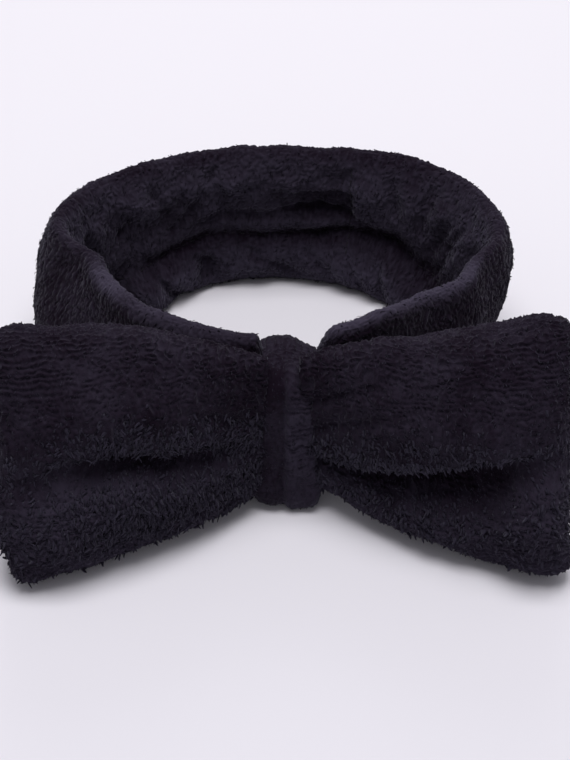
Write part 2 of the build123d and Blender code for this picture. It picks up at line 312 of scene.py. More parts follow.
def thread_mesh(name, runs, radius):
    """Mesh of short threads, each a six-sided tube with thinned ends along one run of points in mm."""
    sides = 6
    turn = np.linspace(0, 2 * pi, sides, endpoint=False)
    points = []
    faces = []
    for run in runs:
        run = np.asarray(run, float)
        along = np.gradient(run, axis=0)
        along /= np.maximum(np.linalg.norm(along, axis=1, keepdims=True), 1e-9)
        aside = np.cross(along, OFF_THREADS)
        aside /= np.maximum(np.linalg.norm(aside, axis=1, keepdims=True), 1e-9)
        up = np.cross(aside, along)
        thin = radius * np.minimum(1.0, 0.55 + np.minimum(np.arange(len(run)), np.arange(len(run))[::-1]))
        start = len(points)
        for spot, a, b, r in zip(run, aside, up, thin):
            points.extend(spot + r * (np.cos(t) * a + np.sin(t) * b) for t in turn)
        for i in range(len(run) - 1):
            low = start + i * sides
            for j in range(sides):
                k = (j + 1) % sides
                faces.append((low + j, low + k, low + sides + k, low + sides + j))
        faces.append(tuple(range(start + sides - 1, start - 1, -1)))
        faces.append(tuple(range(len(points) - sides, len(points))))
    return new_piece(name, points, faces)


def stitches(line, long, gap):
    """Runs of a stitched line: pieces of it long mm apiece with gaps between."""
    line = np.asarray(line, float)
    reach = run_length(line)
    starts = np.arange(0.5, reach[-1] - long, long + gap)
    spots = [start + np.linspace(0, long, 5) for start in starts]
    return [np.stack([np.interp(at, reach, line[:, axis]) for axis in range(3)], axis=1) for at in spots]


# ---------------------------------------------------------------- materials


def new_material(name, rough, specular, sheen=0.0, sheen_rough=0.5, sheen_tint=(1, 1, 1, 1)):
    """Material with a Principled shader, returned with its node tree and shader."""
    mat = bpy.data.materials.new(name)
    mat.use_nodes = True
    tree = mat.node_tree
    shader = tree.nodes["Principled BSDF"]
    shader.inputs["Roughness"].default_value = rough
    shader.inputs["Specular IOR Level"].default_value = specular
    shader.inputs["Sheen Weight"].default_value = sheen
    shader.inputs["Sheen Roughness"].default_value = sheen_rough
    shader.inputs["Sheen Tint"].default_value = sheen_tint
    return mat, tree, shader


def object_coords(tree):
    """Socket of the object's own coordinates, in metres."""
    return tree.nodes.new("ShaderNodeTexCoord").outputs["Object"]


def noise_socket(tree, scale, detail, coords):
    """Socket of a noise texture from 0 to 1."""
    node = tree.nodes.new("ShaderNodeTexNoise")
    node.inputs["Scale"].default_value = scale
    node.inputs["Detail"].default_value = detail
    tree.links.new(coords, node.inputs["Vector"])
    return node.outputs["Fac"]


def two_tone(tree, factor, dark, light):
    """Socket of a colour that goes from dark to light with a factor socket."""
    ramp = tree.nodes.new("ShaderNodeValToRGB")
    ramp.color_ramp.elements[0].color = (*dark, 1)
    ramp.color_ramp.elements[1].color = (*light, 1)
    tree.links.new(factor, ramp.inputs["Fac"])
    return ramp.outputs["Color"]


def add_bump(tree, shader, height, strength, distance):
    """Bump on a shader from a height socket, over a distance in metres."""
    bump = tree.nodes.new("ShaderNodeBump")
    bump.inputs["Strength"].default_value = strength
    bump.inputs["Distance"].default_value = distance
    tree.links.new(height, bump.inputs["Height"])
    tree.links.new(bump.outputs["Normal"], shader.inputs["Normal"])


def fleece_material(name, dark, light, sheen):
    """Pile with painted shade between its tufts and in its creases and painted light on its tufts and rims,
    taken from the mesh's tone attribute; patchy at two scales, with a fine fibre bump.
    """
    mat, tree, shader = new_material(name, 0.9, 0.10, sheen, 0.4, SHEEN_TINT)
    coords = object_coords(tree)
    tone = tree.nodes.new("ShaderNodeAttribute")
    tone.attribute_name = "painted_pile_light_and_shade"
    total = tone.outputs["Fac"]
    patches = noise_socket(tree, 42.0, 3.0, coords)
    specks = noise_socket(tree, 700.0, 2.0, coords)
    for texture, share in ((patches, 1.60), (specks, 0.55)):
        add = tree.nodes.new("ShaderNodeMath")
        add.operation = "MULTIPLY_ADD"
        add.inputs[1].default_value = share
        tree.links.new(texture, add.inputs[0])
        tree.links.new(total, add.inputs[2])
        total = add.outputs[0]
    spread = tree.nodes.new("ShaderNodeMapRange")
    spread.inputs["From Min"].default_value = 0.90
    spread.inputs["From Max"].default_value = 2.90
    tree.links.new(total, spread.inputs["Value"])
    colour = two_tone(tree, spread.outputs["Result"], dark, light)
    tree.links.new(colour, shader.inputs["Base Color"])
    add_bump(tree, shader, noise_socket(tree, 1900.0, 3.0, coords), 0.5, 0.0004)
    return mat


def tuft_material(name, colour, sheen):
    """Fibre for the pile's loose tips: one colour, with a fine uneven surface."""
    mat, tree, shader = new_material(name, 0.9, 0.10, sheen, 0.4, SHEEN_TINT)
    shader.inputs["Base Color"].default_value = (*colour, 1)
    fibre = noise_socket(tree, 1500.0, 2.0, object_coords(tree))
    uneven = tree.nodes.new("ShaderNodeMapRange")
    uneven.inputs["To Min"].default_value = 0.75
    tree.links.new(fibre, uneven.inputs["Value"])
    tree.links.new(uneven.outputs["Result"], shader.inputs["Roughness"])
    add_bump(tree, shader, fibre, 0.4, 0.0002)
    return mat


def strand_material(name, dark, light, scale, rough):
    """Twisted or woven strands: fine bands of two tones with a bump."""
    mat, tree, shader = new_material(name, rough, 0.25, 0.05, 0.4)
    wave = tree.nodes.new("ShaderNodeTexWave")
    wave.bands_direction = "DIAGONAL"
    wave.inputs["Scale"].default_value = scale
    wave.inputs["Distortion"].default_value = 1.5
    tree.links.new(object_coords(tree), wave.inputs["Vector"])
    colour = two_tone(tree, wave.outputs["Fac"], dark, light)
    tree.links.new(colour, shader.inputs["Base Color"])
    add_bump(tree, shader, wave.outputs["Fac"], 0.4, 0.0003)
    return mat


SHEEN_TINT = (0.72, 0.72, 0.88, 1)
FLEECE = fleece_material("fleece_pile", (0.0050, 0.0018, 0.0064), (0.0370, 0.0310, 0.0505), 0.14)
TIPS = tuft_material("fleece_tips", (0.0252, 0.0214, 0.0356), 0.06)
DARK_TIPS = tuft_material("fleece_tips_deep", (0.0112, 0.0080, 0.0158), 0.05)
THREAD = strand_material("seam_thread", (0.004, 0.003, 0.006), (0.012, 0.009, 0.016), 900.0, 0.8)
ELASTIC = strand_material("elastic_weave", (0.01, 0.01, 0.011), (0.05, 0.05, 0.052), 420.0, 0.55)
WADDING = strand_material("soft_filling", (0.62, 0.6, 0.56), (0.82, 0.8, 0.77), 240.0, 0.95)


def dress(piece, material):
    """Gives a piece one material."""
    piece.data.materials.clear()
    piece.data.materials.append(material)


# ---------------------------------------------------------------- head loop

LOOP_STEPS = 1100
BAND_STEPS = 330


def stadium(steps, half_w, half_h):
    """Closed outline as (across, up) with flat sides and round ends, evenly spaced.

    It starts at the bottom and goes up the outside.
    """
    straight = 2 * (half_h - half_w)
    arc = pi * half_w
    total = 2 * (straight + arc)
    s = np.linspace(0, total, steps, endpoint=False)
    across = np.empty(steps)
    up = np.empty(steps)
    quarter = arc / 2
    rising = (s >= quarter) & (s < quarter + straight)
    top = (s >= quarter + straight) & (s < quarter + straight + arc)
    falling = (s >= quarter + straight + arc) & (s < quarter + 2 * straight + arc)
    low = ~(rising | top | falling)
    across[rising] = half_w
    up[rising] = -(half_h - half_w) + (s[rising] - quarter)
    angle = (s[top] - quarter - straight) / half_w
    across[top] = half_w * np.cos(angle)
    up[top] = (half_h - half_w) + half_w * np.sin(angle)
    across[falling] = -half_w
    up[falling] = (half_h - half_w) - (s[falling] - quarter - straight - arc)
    bottom = np.where(s < quarter, s, s - total)[low] / half_w
    across[low] = half_w * np.sin(bottom)
    up[low] = -(half_h - half_w) - half_w * np.cos(bottom)
    return across, up


# Seam on the inner face, over the angle round the loop in degrees: its height, depth and width in mm.
SEAM_D = (0.0, 20.0, 40.0, 50.0, 62.0, 75.0, 90.0, 112.0, 126.0, 140.0, 160.0, 180.0)
SEAM_Z = (30.0, 26.0, 22.5, 27.0, 29.0, 27.0, 26.0, 26.0, 21.5, 19.5, 24.0, 30.0)
SEAM_DEEP = (0.0, 1.5, 6.0, 5.4, 4.2, 3.0, 2.6, 2.8, 3.4, 4.4, 1.5, 0.0)
SEAM_WIDE = (3.0, 5.0, 9.0, 6.4, 4.4, 3.4, 3.1, 3.4, 4.4, 7.0, 4.0, 3.0)

# Folds on the inner face: angle in degrees and height in mm at the middle, lean in degrees per mm,
# and half length, depth and width in mm.
INNER_FOLDS = (
    (30.0, 40.0, -0.45, 22.0, 2.6, 2.6),
    (37.0, 38.0, -0.35, 20.0, 3.2, 3.0),
    (44.0, 50.0, -0.10, 11.0, 2.8, 2.4),
    (55.5, 51.0, 0.05, 10.0, 3.2, 2.2),
    (56.0, 12.0, 0.20, 11.0, 2.8, 2.4),
    (66.0, 12.0, 0.30, 9.0, 1.8, 2.2),
    (78.0, 14.0, 0.55, 9.0, 1.6, 2.0),
    (92.0, 15.0, 0.70, 9.0, 1.8, 2.0),
    (99.0, 47.0, -0.30, 10.0, 1.8, 2.4),
    (105.0, 52.0, 0.12, 12.0, 2.8, 2.4),
    (109.0, 13.0, 0.50, 7.0, 4.4, 3.0),
    (114.0, 44.0, -0.50, 12.0, 1.8, 2.2),
    (122.0, 9.0, 0.80, 10.0, 4.0, 2.2),
    (124.0, 48.0, 0.30, 10.0, 1.8, 2.4),
    (136.0, 9.0, 0.62, 12.0, 4.0, 2.4),
    (138.0, 45.0, 0.25, 11.0, 1.8, 2.6),
    (149.0, 12.0, 0.45, 12.0, 3.4, 2.8),
    (155.0, 42.0, 0.10, 14.0, 2.2, 2.8),
)


def loop_line(theta):
    """Middle line of the band from above, and its ways ahead and outwards: (x, y) at angles in radians."""
    reach_a = LOOP_A - BAND_DEPTH / 2 - 0.5
    reach_b = LOOP_B - BAND_DEPTH / 2 - 0.5
    x = LOOP[0] + reach_a * signed_power(np.cos(theta), 0.955)
    y = LOOP[1] + reach_b * signed_power(np.sin(theta), 0.955)
    base = np.stack((x, y), axis=1)
    step = np.roll(base, -1, 0) - np.roll(base, 1, 0)
    step /= np.linalg.norm(step, axis=1, keepdims=True)
    return base, step, np.stack((step[:, 1], -step[:, 0]), axis=1)


# How the loop's wall leans outwards round the loop, as bumps: mm, angle in degrees and width in degrees.
# Its foot comes in at the rear quarters and at the right, its head goes out at the rear and comes in at the
# front, its rim rolls in at both sides, and it bulges there at mid height. Its rim also rises near the wrap.
FOOT_LEAN = ((-9.2, 46.0, 20.0), (-12.0, 133.0, 21.0), (-0.8, 90.0, 22.0))
RIGHT_FOOT_LEAN = ((-12.0, -8.0, 30.0),)
HEAD_LEAN = ((5.0, 44.0, 20.0), (1.4, 2.0, 20.0), (1.0, 143.0, 15.0), (0.6, 180.0, 14.0))
FRONT_HEAD_LEAN = ((-13.0, 214.0, 21.0), (-3.0, 242.0, 14.0), (-10.0, -44.0, 19.0))
RIM_ROLL = ((-12.0, 190.0, 15.0), (-7.0, -14.0, 14.0))
SIDE_BULGE = ((3.0, 172.0, 15.0), (2.6, 6.0, 14.0))
FRONT_RISE = ((2.8, 250.0, 15.0), (5.6, -66.0, 13.0))


def bumps(table, D):
    """Sum of a table's bumps at the angles D."""
    return sum(size * bell(D - at, wide) for size, at, wide in table)


def wall_lean(D, Z):
    """How far in mm the loop's wall leans outwards at angle D and height Z."""
    low = bumps(FOOT_LEAN, D) * smooth(44.0, 0.0, Z) + bumps(RIGHT_FOOT_LEAN, D) * smooth(62.0, 0.0, Z)
    head = bumps(HEAD_LEAN, D) * smooth(30.0, 66.0, Z) + bumps(FRONT_HEAD_LEAN, D) * smooth(6.0, 62.0, Z)
    rim = bumps(RIM_ROLL, D) * smooth(28.0, 64.0, Z)
    return low + head + rim + bumps(SIDE_BULGE, D) * bell(Z - 47.0, 17.0)


def inner_relief(D, Z, S, back):
    """How far in mm the loop's inner face moves outwards, and the height of its seam.

    It has a seam, a pocket, folds and crinkles, and puffs inwards above and below the seam.
    """
    stray = 1.3 * noise(S / 17.0, S * 0, 5) + 0.7 * noise(S / 6.0, S * 0, 4)
    seam_z = curve(SEAM_D, SEAM_Z, D) + stray
    seam_wide = curve(SEAM_D, SEAM_WIDE, D)
    seam = curve(SEAM_D, SEAM_DEEP, D) * (1 + 0.3 * noise(S / 11.0, S * 0, 3)) * bell(Z - seam_z, seam_wide)
    lip_z = seam_z + curve((60.0, 72.0, 80.0, 100.0, 110.0), (5.0, 8.0, 10.5, 10.5, 8.0), D)
    lip = 2.0 * bell(Z - lip_z, 2.8) * smooth(59.0, 68.0, D) * smooth(112.0, 104.0, D)
    pocket_top = 48.5 + 1.5 * noise(S / 8.0, S * 0, 6)
    pocket = 5.2 * smooth(94.0, 78.0, D) * smooth(CLOSING_ANGLE - 2.2, CLOSING_ANGLE + 1.0, D)
    pocket *= smooth(lip_z - 1.0, lip_z + 2.0, Z) * smooth(pocket_top + 3.0, pocket_top - 1.5, Z)
    step = -1.6 * smooth(CLOSING_ANGLE + 1.0, CLOSING_ANGLE - 1.5, D) * bell(D - CLOSING_ANGLE + 4.0, 6.0)
    step *= bell(Z - 48.0, 10.0)
    drift = 2.0 * noise(Z / 8.0, S / 20.0, 8)
    calm = 1 - 0.7 * bell(D - 42.0, 8.0) * bell(Z - 29.0, 7.0)
    folds = np.zeros_like(Z)
    for at, height, slant, half, deep, wide in INNER_FOLDS:
        away = (D - at - slant * (Z - height) - drift) * 1.28
        wide = 1.3 * wide
        deep = 0.85 * deep
        reach = smooth(half * 1.35, half * 0.3, np.abs(Z - height))
        folds += deep * bell(away, wide) * reach
        banks = bell(away - 3.2 * wide, 2.4 * wide) + bell(away + 3.2 * wide, 2.4 * wide)
        folds -= 0.32 * deep * banks * reach
    lumpy = 0.9 * noise(S / 12.0, Z / 14.0, 7) + 0.6 * noise(S / 6.0, Z / 8.0, 17)
    puff = (1.8 + 1.5 * lumpy) * bell(Z - 12.0, 11.0) + (2.2 + 1.7 * lumpy) * bell(Z - 52.0, 12.0)
    lean_one = noise((S + 0.7 * Z) / 10.0, (Z - 0.4 * S) / 14.0, 18)
    lean_two = noise((S - 0.9 * Z) / 8.0, (Z + 0.4 * S) / 12.0, 19)
    crinkle = 0.8 * bell(lean_one, 0.34) + 0.5 * bell(lean_two, 0.34) - 0.45
    return seam + lip + pocket + back * (calm * folds + crinkle * bell(Z - 34.0, 30.0) - puff) + step, seam_z


def loop_seam_lines(grid, skin, to_seam, inside, up, degrees):
    """Lines in mm along the loop's lengthwise seam and its closing seam, just off its inner face.

    to_seam is each point's distance from the lengthwise seam, and inside marks the inner face's columns.
    """
    column = np.argmin(np.where(inside[None, :], to_seam, np.inf), axis=1)
    ring = np.arange(LOOP_STEPS)
    seam_line = grid[ring, column] - skin[ring, column] * 0.10
    row = np.argmin(np.abs(degrees - CLOSING_ANGLE))
    sewn = inside & (up > CLOSING_LOW) & (up < CLOSING_HIGH)
    return seam_line, grid[row, sewn] + skin[row, sewn] * 0.1


def painted_loop_light_and_shade(D, Z, seam_z, hollow, inner, outer, facing_up, front):
    """Painted light and shade added to the loop's tone: a painted highlight on its front rims where they face
    up and a little painted shade on its other up-facing rims, painted light on its inner face and its inward
    puffs, and painted shade in the seam's crease, in its hollows and on its outer face.
    """
    ridge = 1.25 * bell(D - 215.0, 13.0) + 0.35 * smooth(225.0, 240.0, D) + smooth(-8.0, -24.0, D)
    crease_end = smooth(68.0, 42.0, D)
    crease = bell(Z - seam_z + 1.0 + 2.5 * crease_end, 3.5 + 4.0 * crease_end)
    crease *= smooth(28.0, 36.0, D) * smooth(140.0, 118.0, D)
    rim_highlight = (1.6 * front * ridge - 0.15) * facing_up
    wall_light_and_shade = inner * (0.55 - 1.10 * crease - 0.14 * np.clip(hollow, -3.0, 3.0)) - 0.60 * outer
    return rim_highlight + wall_light_and_shade * (1 - facing_up)


def loop_grid():
    """Outer skin of the fleece loop in mm, its comb direction and tone with painted light and shade, and the
    lines of its two seams.
    """
    theta = radians(-90) + np.linspace(0, 2 * pi, LOOP_STEPS, endpoint=False)
    across, up = stadium(BAND_STEPS, BAND_DEPTH / 2 - 0.1, BAND_HEIGHT / 2)
    base, step, out = loop_line(theta)
    arc = run_length(base)
    degrees = np.degrees(theta)

    knot_out = base[:, 0] - KNOT_X
    ahead = np.sin(theta) < 0
    near = np.where(knot_out < 0, smooth(10.2, 5.8, -knot_out), smooth(19.0, 9.0, knot_out))
    pinch = np.where(ahead, near, 0.0)
    back = smooth(-0.25, 0.35, np.sin(theta))

    # The band thins towards its rims, and its foot lies a little to the left.
    slim = 1 - 0.30 * smooth(0.45, 1.0, np.abs(up) / (BAND_HEIGHT / 2))
    A = (across * slim)[None, :] * np.ones((LOOP_STEPS, 1))
    U = up[None, :] * (1 - PINCH_NARROW * pinch)[:, None]
    Z = BAND_HEIGHT / 2 + U - PINCH_DROP * pinch[:, None]
    D = degrees[:, None] * np.ones((1, BAND_STEPS))
    S = arc[:, None] * np.ones((1, BAND_STEPS))
    inner = smooth(1.0, -5.0, A)
    outer = smooth(-1.0, 5.0, A)

    rise = bumps(FRONT_RISE, D) * smooth(30.0, 62.0, Z)
    shear = -1.5 * (1 - Z / BAND_HEIGHT) * (1 - pinch[:, None])
    hollow, seam_z = inner_relief(D, Z, S, back[:, None])

    # Outer face: shallow gathers over the elastic, smoother towards the front.
    gather = noise(S / 7.5, Z / 45.0, 9) + 0.6 * noise(S / 3.9, Z / 30.0, 10)
    outer_wave = (0.35 + 1.1 * back[:, None]) * gather * bell(Z - 34.0, 30.0)
    swell = 1.2 * noise(S / 40.0, Z / 30.0, 11) + 1.2 * bell(Z - 34.0, 24.0)

    move = inner * hollow + outer * (outer_wave + swell)
    rim = smooth(0.70, 1.0, np.abs(up) / (BAND_HEIGHT / 2))[None, :]
    uneven = 0.9 * noise(S / 17.0, Z / 40.0, 12) + 0.7 * noise(S / 8.0, Z / 40.0, 13)
    roll = rim * (uneven - 0.8 * bell(D - 90.0, 60.0))
    radial = A + wall_lean(D, Z) + move
    lift = roll * np.sign(up)[None, :] * smooth(0.0, 8.0, Z + 4.0 * np.sign(up)[None, :])
    grid = np.empty((LOOP_STEPS, BAND_STEPS, 3))
    grid[:, :, 0] = base[:, :1] + out[:, :1] * radial + shear
    grid[:, :, 1] = base[:, 1:] + out[:, 1:] * radial
    grid[:, :, 2] = Z + lift + rise

    skin = normals(grid, True)
    seam_line, closing_line = loop_seam_lines(grid, skin, np.abs(Z - seam_z), A[0] < -4.0, up, degrees)
    perimeter = run_length(np.stack((across, up), axis=1))[None, :]
    pile, tone = nap(S, perimeter + 0 * S, 21, 0.10, 0.45, 0.75)
    facing_up = smooth(0.20, 0.85, skin[:, :, 2])
    front = smooth(0.30, -0.30, np.sin(theta))[:, None]
    # Painted highlight on the front rims, painted light on the inner face, and painted shade in the seam's
    # crease, hollows and outer face.
    tone = tone + painted_loop_light_and_shade(D, Z, seam_z, hollow, inner, outer, facing_up, front)
    flat = smooth(0.3, 3.0, grid[:, :, 2])
    grid = grid + skin * (pile * (0.35 + 0.65 * flat))[:, :, None]
    grid[:, :, 2] = np.maximum(grid[:, :, 2], 0.0)
    comb = np.zeros_like(grid)
    comb[:, :, 2] = -1.0
    comb[:, :, 0] = 0.35 * step[:, :1]
    comb[:, :, 1] = 0.35 * step[:, 1:]
    return grid, comb, tone, seam_line, closing_line


def elastic_grid():
    """Skin of the elastic in mm: a flat gathered strip inside the rear of the loop."""
    theta = np.linspace(radians(-30), radians(210), 700)
    base, _, out = loop_line(theta)
    keep = base[:, 1] > ELASTIC_END_Y
    base = base[keep]
    out = out[keep]
    arc = run_length(base)
    around = 48
    thick, tall = stadium(around, ELASTIC_HALF_THICK, (ELASTIC_HIGH - ELASTIC_LOW) / 2)
    wave = 0.35 * np.sin(arc / 1.1)[:, None]
    grid = np.empty((len(base), around, 3))
    grid[:, :, 2] = (ELASTIC_LOW + ELASTIC_HIGH) / 2 + tall[None, :]
    degrees = np.degrees(theta[keep])[:, None]
    radial = thick[None, :] + ELASTIC_OUT + wave + wall_lean(degrees, grid[:, :, 2])
    grid[:, :, 0] = base[:, :1] + out[:, :1] * radial
    grid[:, :, 1] = base[:, 1:] + out[:, 1:] * radial
    return grid


def tack_run(end_column):
    """Zigzag of thread in mm over one end of the elastic, whose end column of points is given."""
    count = 13
    height = np.linspace(ELASTIC_LOW + 2.0, ELASTIC_HIGH - 2.0, count)
    swing = 1.4 + 1.2 * (-1.0) ** np.arange(count)
    rising = end_column[np.argsort(end_column[:, 2])]
    run = np.empty((count, 3))
    run[:, 0] = np.interp(height, rising[:, 2], rising[:, 0])
    run[:, 1] = np.interp(height, rising[:, 2], rising[:, 1]) + swing
    run[:, 2] = height
    return run


# ---------------------------------------------------------------- bow loops

WING_STEPS = 300
ROUND_STEPS = 561
# Thickness of the fleece round a bow loop's filling, in mm.
WALL = 4.0


def wing_sections(shape):
    """Sections of one bow loop in mm: way out, middle, direction up, half thickness and half height."""
    body = int(WING_STEPS * 0.84)
    first = WING_D[0]
    reach = shape["reach"]
    last = reach - WING_END_ROUND
    turn = np.linspace(0, pi / 2 * 0.97, WING_STEPS - body + 1)[1:]
    out = np.concatenate((np.linspace(first, last, body), last + WING_END_ROUND * np.sin(turn)))
    thin = np.concatenate((np.ones(body), np.cos(turn) ** 0.75))
    short = np.concatenate((np.zeros(body), 1 - np.cos(turn)))
    d = np.minimum(first + (out - first) * (WING_D[-1] - first) / (reach - first), WING_D[-1])
    foot = np.stack((curve(WING_D, shape["foot_y"], d), curve(WING_D, shape["foot_z"], d)), axis=1)
    top = np.stack((curve(WING_D, shape["top_y"], d), curve(WING_D, shape["top_z"], d)), axis=1)
    half = curve(WING_D, shape["half"], d) * thin
    tall = np.linalg.norm(top - foot, axis=1)
    along = (top - foot) / tall[:, None]
    return out, (foot + top) / 2, along, half, tall / 2 - 7.0 * short


def way_round(P, Q):
    """Distance in mm along each section's outline, up from the middle of its front."""
    move_p = np.diff(P, axis=1, prepend=P[:, :1])
    move_q = np.diff(Q, axis=1, prepend=Q[:, :1])
    ring = np.cumsum(np.hypot(move_p, move_q), axis=1)
    return ring[:, ROUND_STEPS * 3 // 4][:, None] - ring


def furrow_shape(furrow, P, O, seed):
    """A furrow's height and depth in mm over the distance out O, and its valley from 0 to 1."""
    at = curve(furrow["out"], furrow["height"], O) + 0.8 * noise(O / 11.0, O * 0, seed + 30)
    gape = curve(furrow["out"], furrow["gape"], O)
    e = P - at
    below = np.exp(-np.abs(np.minimum(e + gape * 0.3, 0) / (gape + 2.5)) ** 2.0)
    above = np.exp(-np.abs(np.maximum(e, 0) / 2.6) ** 2.2)
    return at, curve(furrow["out"], furrow["deep"], O), np.where(e < 0, below, above)


def wing_relief(P, Q, O, half, half_tall, furrow, creases, seed):
    """P and Q of a bow loop with its lobes, furrow, creases and lumps, and the furrow's shape."""
    facing = smooth(0.05, 0.85, Q / np.maximum(half, 1e-6))
    rear = smooth(0.05, 0.85, -Q / np.maximum(half, 1e-6))
    grow = smooth(14.0, 50.0, O)
    at, deep, valley = furrow_shape(furrow, P, O, seed)
    e = P - at
    lobes = 2.6 * bell(e - 15.0, 12.0) + 3.0 * bell(e + 20.0, 13.0)
    Q = Q - deep * facing * valley + lobes * facing * grow * smooth(0.0, 6.0, deep)
    hang = curve(furrow["out"], furrow["hang"], O)
    P = P - hang * facing * bell(e - 3.0, 4.0) * smooth(-2.0, 1.0, e)

    # Creases that fan out from the knot, and stand out a little at the back.
    for share, far, depth, width, drift in creases:
        line = half_tall * share + drift * (O - 16.0)
        fade = smooth(far, far * 0.25, O - 10.0)
        wide = width + 0.045 * (O - 16.0)
        Q = Q - depth * fade * (facing * bell(P - line, wide) - 0.8 * rear * bell(P - line + 3.0, wide))

    # The back face has a shallow furrow too, so the loop reads as two lobes from behind.
    Q = Q + 4.0 * rear * bell(P + 2.0, 5.0) * smooth(100.0, 40.0, O)
    soft = 1.3 * noise(O / 19.0, P / 16.0, seed + 31) + 0.7 * noise(O / 8.0, P / 9.0, seed + 32)
    Q = Q + soft * grow * (facing - 0.8 * rear)
    wobble = 0.9 * noise(O / 12.0, np.sign(P), seed + 33)
    P = P + wobble * smooth(0.80, 1.0, np.abs(P) / half_tall) * np.sign(P) * smooth(0.0, 30.0, O)
    return P, Q, at, deep, valley


def wing_filling(Q, ahead):
    """Depth Q of a bow loop's filling. To clear the skin, it starts from the thinnest place near a point."""
    opposite = Q[:, (-np.arange(ROUND_STEPS)) % ROUND_STEPS]
    front_q = np.where(ahead, Q, opposite)
    rear_q = np.where(ahead, opposite, Q)
    near = range(-18, 19, 3)
    low_front = np.min([np.roll(front_q, shift, 1) for shift in near], axis=0)
    high_rear = np.max([np.roll(rear_q, shift, 1) for shift in near], axis=0)
    thick = np.maximum((low_front - high_rear) / 2 - WALL, 0.3)
    return (low_front + high_rear) / 2 + np.where(ahead, thick, -thick)


def wing_pile(P, O, round_up, half_tall, at, deep, valley, seed):
    """Pile height in mm and tone of a bow loop with painted light and shade, and how shaggy it is. Rows are
    on top and at its end.
    """
    above_lip = P - at
    upper = smooth(5.0, 17.0, above_lip)
    outer = smooth(58.0, 84.0, O + 6.0 * noise(O / 14.0, P / 14.0, seed + 35))
    in_rows = np.maximum(upper * (0.55 + 0.45 * noise(O / 16.0, P / 12.0, seed + 34)), outer)
    in_rows = in_rows * smooth(14.0, 50.0, O)
    floor = valley * smooth(1.0, -2.0, above_lip) * smooth(2.0, 7.0, deep)
    shaggy = np.clip(bell(above_lip - 3.0, 8.0) + smooth(-4.0, -16.0, above_lip), 0, 1) * (1 - 0.75 * outer)
    shaggy = shaggy * (1 - 0.9 * smooth(-0.66, -0.92, P / half_tall))
    shaggy = shaggy * np.clip(1 - 1.2 * floor, 0, 1)
    curls = 1.05 + 0.45 * (1 - in_rows)
    pile, tone = nap(O, round_up, seed, 0.80 * in_rows, 0.60 + 0.7 * shaggy, curls, outer)
    # Painted shade among the shaggy strands and on the furrow's floor, painted light on the lower lobe and
    # painted shade on the upper part.
    tone = tone - 0.10 * shaggy - floor * (0.22 + 0.53 * smooth(7.5, 12.5, deep))
    tone = tone + 0.46 * smooth(-5.0, -14.0, above_lip) - 0.22 * smooth(4.0, 14.0, above_lip)
    return pile, tone, shaggy


def wing_grid(shape, furrow, creases, seed):
    """Outer skin of one bow loop in mm, its comb direction and tone with painted light and shade, its filling
    and how shaggy it is.

    P is the way up from a section's middle, Q the way to the front and O the way out from the knot.
    """
    side = shape["side"]
    out, centre, along, half, half_tall = wing_sections(shape)
    front = np.stack((-along[:, 1], along[:, 0]), axis=1)
    half = half[:, None]
    half_tall = half_tall[:, None]
    a = np.linspace(0, 2 * pi, ROUND_STEPS, endpoint=False) + pi
    plain_P = signed_power(np.cos(a), 0.62)[None, :] * half_tall
    plain_Q = signed_power(np.sin(a), 0.80)[None, :] * half
    tuck = shape["tuck"] * smooth(-0.60, -1.0, plain_P / half_tall)
    O = out[:, None] - tuck * smooth(0.72, 1.0, out / shape["reach"])[:, None]
    P, Q, at, deep, valley = wing_relief(plain_P, plain_Q, O, half, half_tall, furrow, creases, seed)

    def turned(field):
        """Field with its way round reversed on the left, so that faces point outwards there too."""
        return field[:, ::-1] if side < 0 else field

    def placed(p, q):
        points = np.empty((*p.shape, 3))
        points[:, :, 0] = KNOT_X + side * O
        points[:, :, 1] = centre[:, :1] + along[:, :1] * p + front[:, :1] * q
        points[:, :, 2] = centre[:, 1:] + along[:, 1:] * p + front[:, 1:] * q
        return turned(points)

    core = wing_filling(Q, np.sin(a)[None, :] >= 0)
    filling = placed(plain_P * (1 - 2 * WALL / half_tall), core)[10:-24:3, ::3]
    grid = placed(P, Q)
    skin = normals(grid, False)
    round_up = way_round(plain_P, plain_Q)
    pile, tone, shaggy = map(turned, wing_pile(P, O, round_up, half_tall, at, deep, valley, seed))
    # Painted highlight: skin that faces up is lighter.
    tone = tone + 0.20 * smooth(0.35, 0.95, skin[:, :, 2])
    grid = grid + skin * pile[:, :, None]
    grid[:, :, 2] = np.maximum(grid[:, :, 2], 0.0)
    comb = np.zeros_like(grid)
    comb[:, :, 0] = 0.25 * side
    comb[:, :, 1] = -along[:, :1]
    comb[:, :, 2] = -along[:, 1:]
    return grid, comb, tone, filling, shaggy


# Furrows over the distance out: the height of the lip, the depth, how wide it gapes below the lip and how far
# the lip hangs over it, in mm.
LEFT_FURROW = {
    "out": (6.0, 17.0, 27.0, 45.0, 66.0, 79.0, 91.0, 106.0),
    "height": (-3.5, -3.5, -2.5, 0.5, 1.0, 0.0, -5.0, -10.0),
    "deep": (0.5, 2.0, 5.0, 7.8, 7.8, 4.4, 2.6, 0.0),
    "gape": (3.0, 3.5, 5.5, 7.0, 7.5, 9.5, 13.0, 13.0),
    "hang": (0.0, 0.5, 2.0, 4.0, 3.5, 1.0, 0.0, 0.0),
}
RIGHT_FURROW = {
    "out": (6.0, 15.0, 28.0, 42.0, 63.0, 78.0, 88.0, 104.0),
    "height": (-12.0, -12.5, -11.5, -9.0, -5.0, -1.5, 1.0, 2.0),
    "deep": (2.0, 6.0, 9.4, 13.0, 14.5, 12.0, 4.5, 0.0),
    "gape": (2.5, 3.0, 6.5, 12.0, 17.5, 20.0, 15.0, 6.0),
    "hang": (0.0, 1.8, 3.2, 3.4, 2.8, 1.2, 0.0, 0.0),
}
